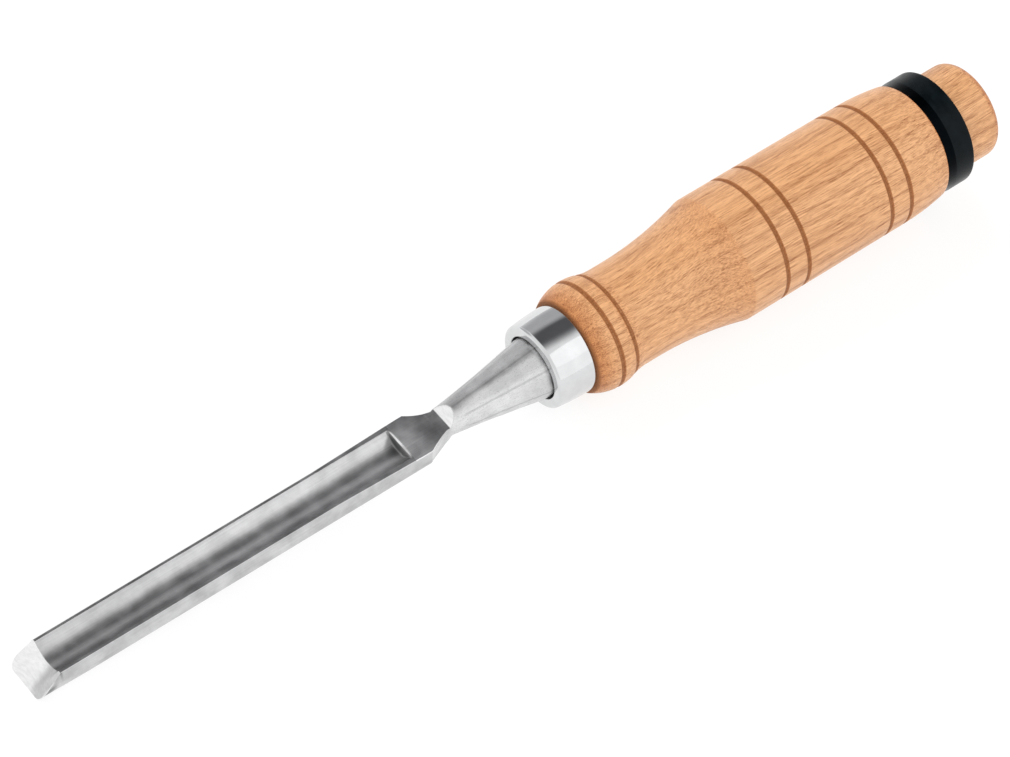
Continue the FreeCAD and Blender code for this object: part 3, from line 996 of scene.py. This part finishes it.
def make_blade(b):
    at = blade_places(b)
    gap = 0.001 * MM
    loops = [bevel_loop(b, at, x) for x in spread(EDGE_X + gap, at.bevel, 25)]
    near = spread(at.bevel, at.bevel + 3.0 * MM, 12)
    straight = spread(near[-1], at.shoulder - b.lean_end_gap - b.lean_runout, 20)
    runout = spread(straight[-1], at.flute_end - 5.0 * MM, 12)
    patch = spread(runout[-1], at.flute_end - 1.2 * MM, 16)
    loops += [bar_loop(b, at, x) for x in near[1:] + straight[1:] + runout[1:] + patch[1:]]
    loops += [bar_loop(b, at, at.flute_end - back * MM, fill) for back, fill in END_WALL]
    pad = spread(at.flute_end + 0.6 * MM, at.shoulder - 0.1 * MM, 8)
    shoulder = spread(at.shoulder, at.pad_end - 2.6 * MM, 14)
    loops += [bar_loop(b, at, x, 1.0) for x in pad + shoulder]

    last = loops[-1]
    start_angles = [math.atan2(-point.y, point.z) % (2 * math.pi) for point in last]
    start_angles[0] = 0.0
    count = len(last)
    even = [2 * math.pi * n / count for n in range(count)]
    neck = spread(at.pad_end - 2.5 * MM, at.pad_end + 3.6 * MM, 56)
    cone = spread(neck[-1] + 0.2 * MM, at.collar, 34)
    collar = spread(at.collar + 0.3 * MM, TENON_X - 0.05 * MM, 4)
    for x in neck + cone + collar:
        t = smooth((x - at.pad_end) / (16.0 * MM))
        angles = [mix(a, e, t) for a, e in zip(start_angles, even)]
        loops.append(turned_loop(b, at, x, angles))

    def tang(x, width):
        return [Vector((x, point.y, point.z)) for point in
                [Vector((0.0, -math.sin(a), math.cos(a))) * square(a) * width / 2 for a in even]]

    for loop in loops:
        straighten_right(b, at, loop)
    loops.append(tang(TENON_X - 0.05 * MM, b.tang_root))
    loops.append(tang(TENON_X + b.tang_length - 2.0 * MM, b.tang_tip * 1.05))
    loops.append(tang(TENON_X + b.tang_length, b.tang_tip * 0.5))
    ground = steel_material("ground_steel", b.steel, 0.34, 1.5e-6, specks=0.12)
    bevel = steel_material("bevel_steel", b.fresh, 0.32, 0.8e-6, along=False, mottle=0.06, wear=0.6)
    forged = steel_material(
        "forged_steel", b.forged, 0.46, 3e-6, mottle=0.20, specks=0.6,
        ridge_lines=0.22, ridge_lines_from=at.pad_end + 2.5 * MM,
    )
    piece = finished(skin(loops), "blade_steel", [ground, bevel, forged], sharp_degrees=28.0)
    for face in piece.data.polygons:
        x = face.center.x
        if x < at.bevel and face.normal.z > 0.3 and face.normal.x < -0.2:
            face.material_index = 1
        elif at.pad_end < x < at.pad_end + 1.1 * b.step and face.normal.x < -0.5:
            face.material_index = 1
        elif x > at.pad_end or (x > at.shoulder and face.normal.z < 0.9):
            face.material_index = 2
    # The tone attribute holds the blade's painted light and shade
    painted(piece, "tone", lambda co: painted_blade_light(b, at, co))
    placed(piece, "blade")


class CHISEL_OT_blade(bpy.types.Operator):
    """Build the fluted blade with its neck, bolster and tang"""
    bl_idname = "chisel.blade"
    bl_label = "Blade"

    def execute(self, context):
        make_blade(context.scene.chisel_blade)
        return {"FINISHED"}


# ---------- turned pieces

def lathe(points):
    """Loops round the axis for an outline in (x, radius)."""
    return [ring_of(point.x, point.y) for point in points]


def closed_lathe(points):
    """Mesh of a hoop: the outline comes back to where it starts."""
    return skin(lathe(points + points[:1]), closed_start=False, closed_end=False)


def make_ferrule(f, b):
    slope = math.tan(f.taper)
    hole = b.rear_radius + f.hole_gap
    front = FERRULE_REAR_RADIUS + FERRULE_FRONT * slope
    bore_rear = FERRULE_REAR_RADIUS - f.wall
    bore_front_x = FERRULE_FRONT + f.lip
    bore_front = bore_rear + bore_front_x * slope
    fine = 0.12 * MM
    points = outline(
        (FERRULE_FRONT + f.lip / 2, hole),
        (FERRULE_FRONT, hole, 0.40 * MM, 6),
        (FERRULE_FRONT, front, f.corner, 10),
        (0.0, FERRULE_REAR_RADIUS, fine, 4),
        (0.0, bore_rear, fine, 3),
        (bore_front_x, bore_front, fine, 3),
        (bore_front_x, hole, fine, 3),
        (FERRULE_FRONT + f.lip / 2, hole),
    )[:-1]
    points = divided(points, 0.5 * MM)
    for point in points:
        side = point.y > bore_front + 0.5 * f.wall and FERRULE_FRONT + f.corner < point.x < -fine
        t = (point.x - FERRULE_FRONT - f.corner) / (-fine - FERRULE_FRONT - f.corner)
        point.y += 4.0 * f.swell * t * (1.0 - t) if side else 0.0
    piece = finished(closed_lathe(points), "ferrule_shell", [chrome_material(f.chrome)])
    placed(piece, "ferrule")


class CHISEL_OT_ferrule(bpy.types.Operator):
    """Build the plated ferrule"""
    bl_idname = "chisel.ferrule"
    bl_label = "Ferrule"

    def execute(self, context):
        make_ferrule(context.scene.chisel_ferrule, context.scene.chisel_blade)
        return {"FINISHED"}


# The grooves come in pairs, given by where each lies behind the ferrule.
GROOVES = tuple(place * MM for place in (5.9, 10.4, 53.6, 60.1, 85.9, 92.0))


def handle_radius(h, x):
    """Outside radius of the handle, without its grooves, from the ferrule to the strike ring."""
    bulb = FERRULE_REAR_RADIUS + h.front_step + h.bulb_rise
    waist = bulb - h.waist_drop
    both = arc_radius(h.waist_from - h.bulb_at, h.waist_drop)
    meet = mix(h.bulb_at, h.waist_from, h.crest_part)
    if x < h.bulb_at:
        return bulb - arc_fall(h.bulb_at - x, arc_radius(h.bulb_at, h.bulb_rise))
    if x < meet:
        return bulb - arc_fall(x - h.bulb_at, both * h.crest_part)
    if x < h.waist_from:
        return waist + arc_fall(h.waist_from - x, both * (1 - h.crest_part))
    if x < h.waist_to:
        return waist
    if x < h.barrel_from:
        flare = arc_radius(h.barrel_from - h.waist_to, BARREL_RADIUS - waist)
        return waist + arc_fall(x - h.waist_to, flare)
    if x < h.barrel_to:
        return BARREL_RADIUS
    return BARREL_RADIUS - arc_fall(x - h.barrel_to, arc_radius(RING_X - h.barrel_to, h.end_drop))


def groove_dip(h, x):
    """Depth of the grooves at x: round bottoms with softened lips."""
    near = min(abs(x - place) for place in GROOVES) / (h.groove_width / 2)
    return h.groove_depth * max(0.0, 1.0 - near * near) ** 1.3


def scorch_and_shade(h, x):
    """How dark the wood is at x: burned in a groove, fading just outside it, and painted shade in a thin
    band where it meets the ferrule.
    """
    near = min(abs(x - place) for place in GROOVES) / (h.groove_width / 2)
    # Painted shade in a thin band where the wood meets the ferrule
    at_ferrule = 1.0 - smooth((x - 0.15 * MM) / (0.30 * MM))
    return max(0.92 * (1.0 - smooth((near - 0.15) / 1.25)), 0.9 * at_ferrule)


def handle_stations(h):
    """Places along the handle's surface, close together in the grooves and at the barrel's corner."""
    places = {round(x, 7) for x in spread(0.15 * MM, RING_X - h.end_edge, 190)}
    for groove in GROOVES:
        places |= {round(x, 7) for x in spread(groove - h.groove_width, groove + h.groove_width, 29)}
    places |= {round(h.barrel_from + near * MM, 7) for near in (-0.8, -0.4, -0.2, 0.0, 0.2, 0.4, 0.8)}
    return sorted(places)


def make_handle(h, f, b):
    slope = math.tan(f.taper)
    gap = 0.03 * MM
    bore_rear = FERRULE_REAR_RADIUS - f.wall - gap
    bore_front = bore_rear + TENON_X * slope
    soft = 0.35 * MM
    barrel_end = RING_X - h.end_edge
    profile = [
        Vector((x, (handle_radius(h, x - soft) + 2 * handle_radius(h, x) + handle_radius(h, x + soft)) / 4
                if abs(x - h.barrel_from) < 1.2 * MM else handle_radius(h, x))) for x in handle_stations(h)
    ]
    for point in profile:
        point.y -= groove_dip(h, point.x)
    start = outline(
        (TENON_X, b.tang_root / 2 + 0.6 * MM),
        (TENON_X, bore_front, 0.2 * MM, 3),
        (0.0, bore_rear),
        (0.0, FERRULE_REAR_RADIUS + h.front_step, 0.12 * MM, 3),
        (profile[0].x, profile[0].y),
    )
    end = outline(
        (barrel_end, handle_radius(h, barrel_end)),
        (RING_X, handle_radius(h, RING_X) - 0.05 * MM, h.end_edge * 0.8, 5),
        (RING_X, h.seat_radius),
        (BUTT_X, h.seat_radius, h.stub_rounding, 14),
        (BUTT_X, h.seat_radius * 0.45),
        (BUTT_X, h.seat_radius * 0.12),
    )
    surface = start[:-1] + profile[:-1] + divided(end, 1.0 * MM)
    point_x = TENON_X + b.tang_length + 2.0 * MM
    taper = (b.tang_root - b.tang_tip) / b.tang_length
    socket = [
        ring_of(point_x, b.tang_tip / 2 - taper * MM, square),
        ring_of(TENON_X, b.tang_root / 2, square),
    ]
    fit = 0.01 * MM
    piece = finished(skin(socket + lathe(surface)), "handle_turned", [wood_material(h)], sharp_degrees=50.0)
    # Wood hidden inside the ferrule gets 2, which paints it near black as shade
    painted(piece, "scorch_and_shade", lambda co: 2.0 if co.x < -fit else scorch_and_shade(h, co.x))
    placed(piece, "handle")


class CHISEL_OT_handle(bpy.types.Operator):
    """Build the turned wooden handle with its scorched grooves"""
    bl_idname = "chisel.handle"
    bl_label = "Handle"

    def execute(self, context):
        scene = context.scene
        make_handle(scene.chisel_handle, scene.chisel_ferrule, scene.chisel_blade)
        return {"FINISHED"}


def make_ring(r):
    bore = RING_RADIUS - r.wall
    ease = r.rounding
    points = outline(
        (RING_X + r.band, bore),
        (RING_X, bore, ease * 0.6, 4),
        (RING_X, RING_RADIUS - r.band_drop, ease * 0.8, 5),
        (RING_X + r.band, RING_RADIUS, ease * 0.7, 4),
        (RING_END_X, RING_RADIUS, ease, 7),
        (RING_END_X, bore, ease * 0.6, 4),
        (RING_X + r.band, bore),
    )[:-1]
    piece = finished(closed_lathe(divided(points, 0.8 * MM)), "strike_hoop", [black_material(r.black)])
    # Painted shade: the tapered front band gets a tone of 0.25, which darkens it
    painted(piece, "tone", lambda co: 0.25 if co.x < RING_X + r.band - 0.05 * MM else 1.0)
    placed(piece, "strike_ring")


class CHISEL_OT_strike_ring(bpy.types.Operator):
    """Build the black strike ring"""
    bl_idname = "chisel.strike_ring"
    bl_label = "Strike ring"

    def execute(self, context):
        make_ring(context.scene.chisel_ring)
        return {"FINISHED"}


# ---------- stage

def make_floor(s):
    mesh = bmesh.new()
    bmesh.ops.create_circle(mesh, cap_ends=True, radius=s.floor_radius, segments=96)
    floor = new_piece(mesh, "floor", [floor_material(s.floor, s.glow)])


LAMP_SIDE = 1.1
# Patches of the surroundings: direction, half angles of the whole and of the full part, and shade
PATCHES = (
    ((0.37, -0.86, 0.30), 42, 12, (1.25, 1.25, 1.25)),
    ((0.27, -0.60, 0.75), 21, 17, (1.38, 1.38, 1.38)),
    ((0.29, 0.37, 0.88), 38, 10, (0.11, 0.11, 0.115)),
    ((-0.40, 0.88, 0.25), 28, 14, (0.60, 0.60, 0.61)),
    ((0.40, 0.84, 0.37), 30, 6, (0.50, 0.50, 0.51)),
)
WHITE = (1.0, 1.0, 1.0)


def make_room(s):
    """White surroundings with two bright patches and three dark flags, which shape the polished faces."""
    world = bpy.data.worlds.new("Studio")
    bpy.context.scene.world = world
    world.use_nodes = True
    net = Net(world.node_tree)
    direction = net.add("TexCoord").outputs["Generated"]
    tint = WHITE
    for middle, outside, inside, shade in PATCHES:
        toward = net.vector("DOT_PRODUCT", direction, tuple(Vector(middle).normalized()))["Value"]
        share_in = net.ranged(toward, math.cos(math.radians(outside)), math.cos(math.radians(inside)))
        tint = net.blended(share_in, tint, shade)
    # Seen straight from the camera, the surroundings are plain
    seen = net.add("LightPath").outputs["Is Camera Ray"]
    tint = net.blended(seen, tint, WHITE)
    background = world.node_tree.nodes["Background"].inputs
    net.feed(background["Color"], tint)
    background["Strength"].default_value = s.light


def make_lamp(name, place, power):
    """Square lamp that is turned towards the tool and isn't mirrored in it."""
    data = bpy.data.lights.new(name, "AREA")
    data.shape = "SQUARE"
    data.size = LAMP_SIDE
    data.energy = power
    lamp = new_object(name, data)
    lamp.location = place
    lamp.visible_glossy = False
    lamp.rotation_mode = "QUATERNION"
    lamp.rotation_quaternion = (-place).to_track_quat("-Z", "Y")


def make_camera(s):
    around, above = s.azimuth, s.elevation
    back = Vector((
        math.sin(around) * math.cos(above), -math.cos(around) * math.cos(above), math.sin(above)
    ))
    data = bpy.data.cameras.new("Camera")
    data.lens = s.lens
    data.sensor_width = 36.0
    data.clip_start = 0.01
    camera = new_object("Camera", data)
    turn = (-back).to_track_quat("-Z", "Y").to_matrix() @ Matrix.Rotation(s.roll, 3, "Z")
    camera.matrix_world = Matrix.Translation(TOOL @ Vector(s.aim) + back * s.distance) @ turn.to_4x4()
    bpy.context.scene.camera = camera


class CHISEL_OT_stage(bpy.types.Operator):
    """Make the floor, the light and the camera"""
    bl_idname = "chisel.stage"
    bl_label = "Stage"

    def execute(self, context):
        s = context.scene.chisel_stage
        context.scene.view_settings.view_transform = "Standard"
        make_floor(s)
        make_room(s)
        make_lamp("Key", Vector((0.40, -0.95, 1.05)), s.key)
        make_lamp("Fill", Vector((0.10, 1.00, 0.90)), s.fill)
        make_camera(s)
        return {"FINISHED"}


# ---------- panel

OPERATORS = (CHISEL_OT_stage, CHISEL_OT_blade, CHISEL_OT_ferrule, CHISEL_OT_handle, CHISEL_OT_strike_ring)


class VIEW3D_PT_chisel(bpy.types.Panel):
    """Sizes, colours and one button for each piece"""
    bl_label = "Bench chisel"
    bl_space_type = "VIEW_3D"
    bl_region_type = "UI"
    bl_category = "Chisel"

    def draw(self, context):
        for operator in OPERATORS:
            self.layout.operator(operator.bl_idname)
        for name in SETTINGS:
            settings = getattr(context.scene, name)
            column = self.layout.column()
            for prop in settings.bl_rna.properties:
                if prop.identifier not in ("rna_type", "name"):
                    column.prop(settings, prop.identifier)


def register():
    for name, settings in SETTINGS.items():
        bpy.utils.register_class(settings)
        setattr(bpy.types.Scene, name, PointerProperty(type=settings))
    for operator in OPERATORS:
        bpy.utils.register_class(operator)
    bpy.utils.register_class(VIEW3D_PT_chisel)


def unregister():
    bpy.utils.unregister_class(VIEW3D_PT_chisel)
    for operator in reversed(OPERATORS):
        bpy.utils.unregister_class(operator)
    for name, settings in SETTINGS.items():
        delattr(bpy.types.Scene, name)
        bpy.utils.unregister_class(settings)


def main():
    register()
    bpy.ops.chisel.stage()
    bpy.ops.chisel.blade()
    bpy.ops.chisel.ferrule()
    bpy.ops.chisel.handle()
    bpy.ops.chisel.strike_ring()


if __name__ == "__main__":
    main()
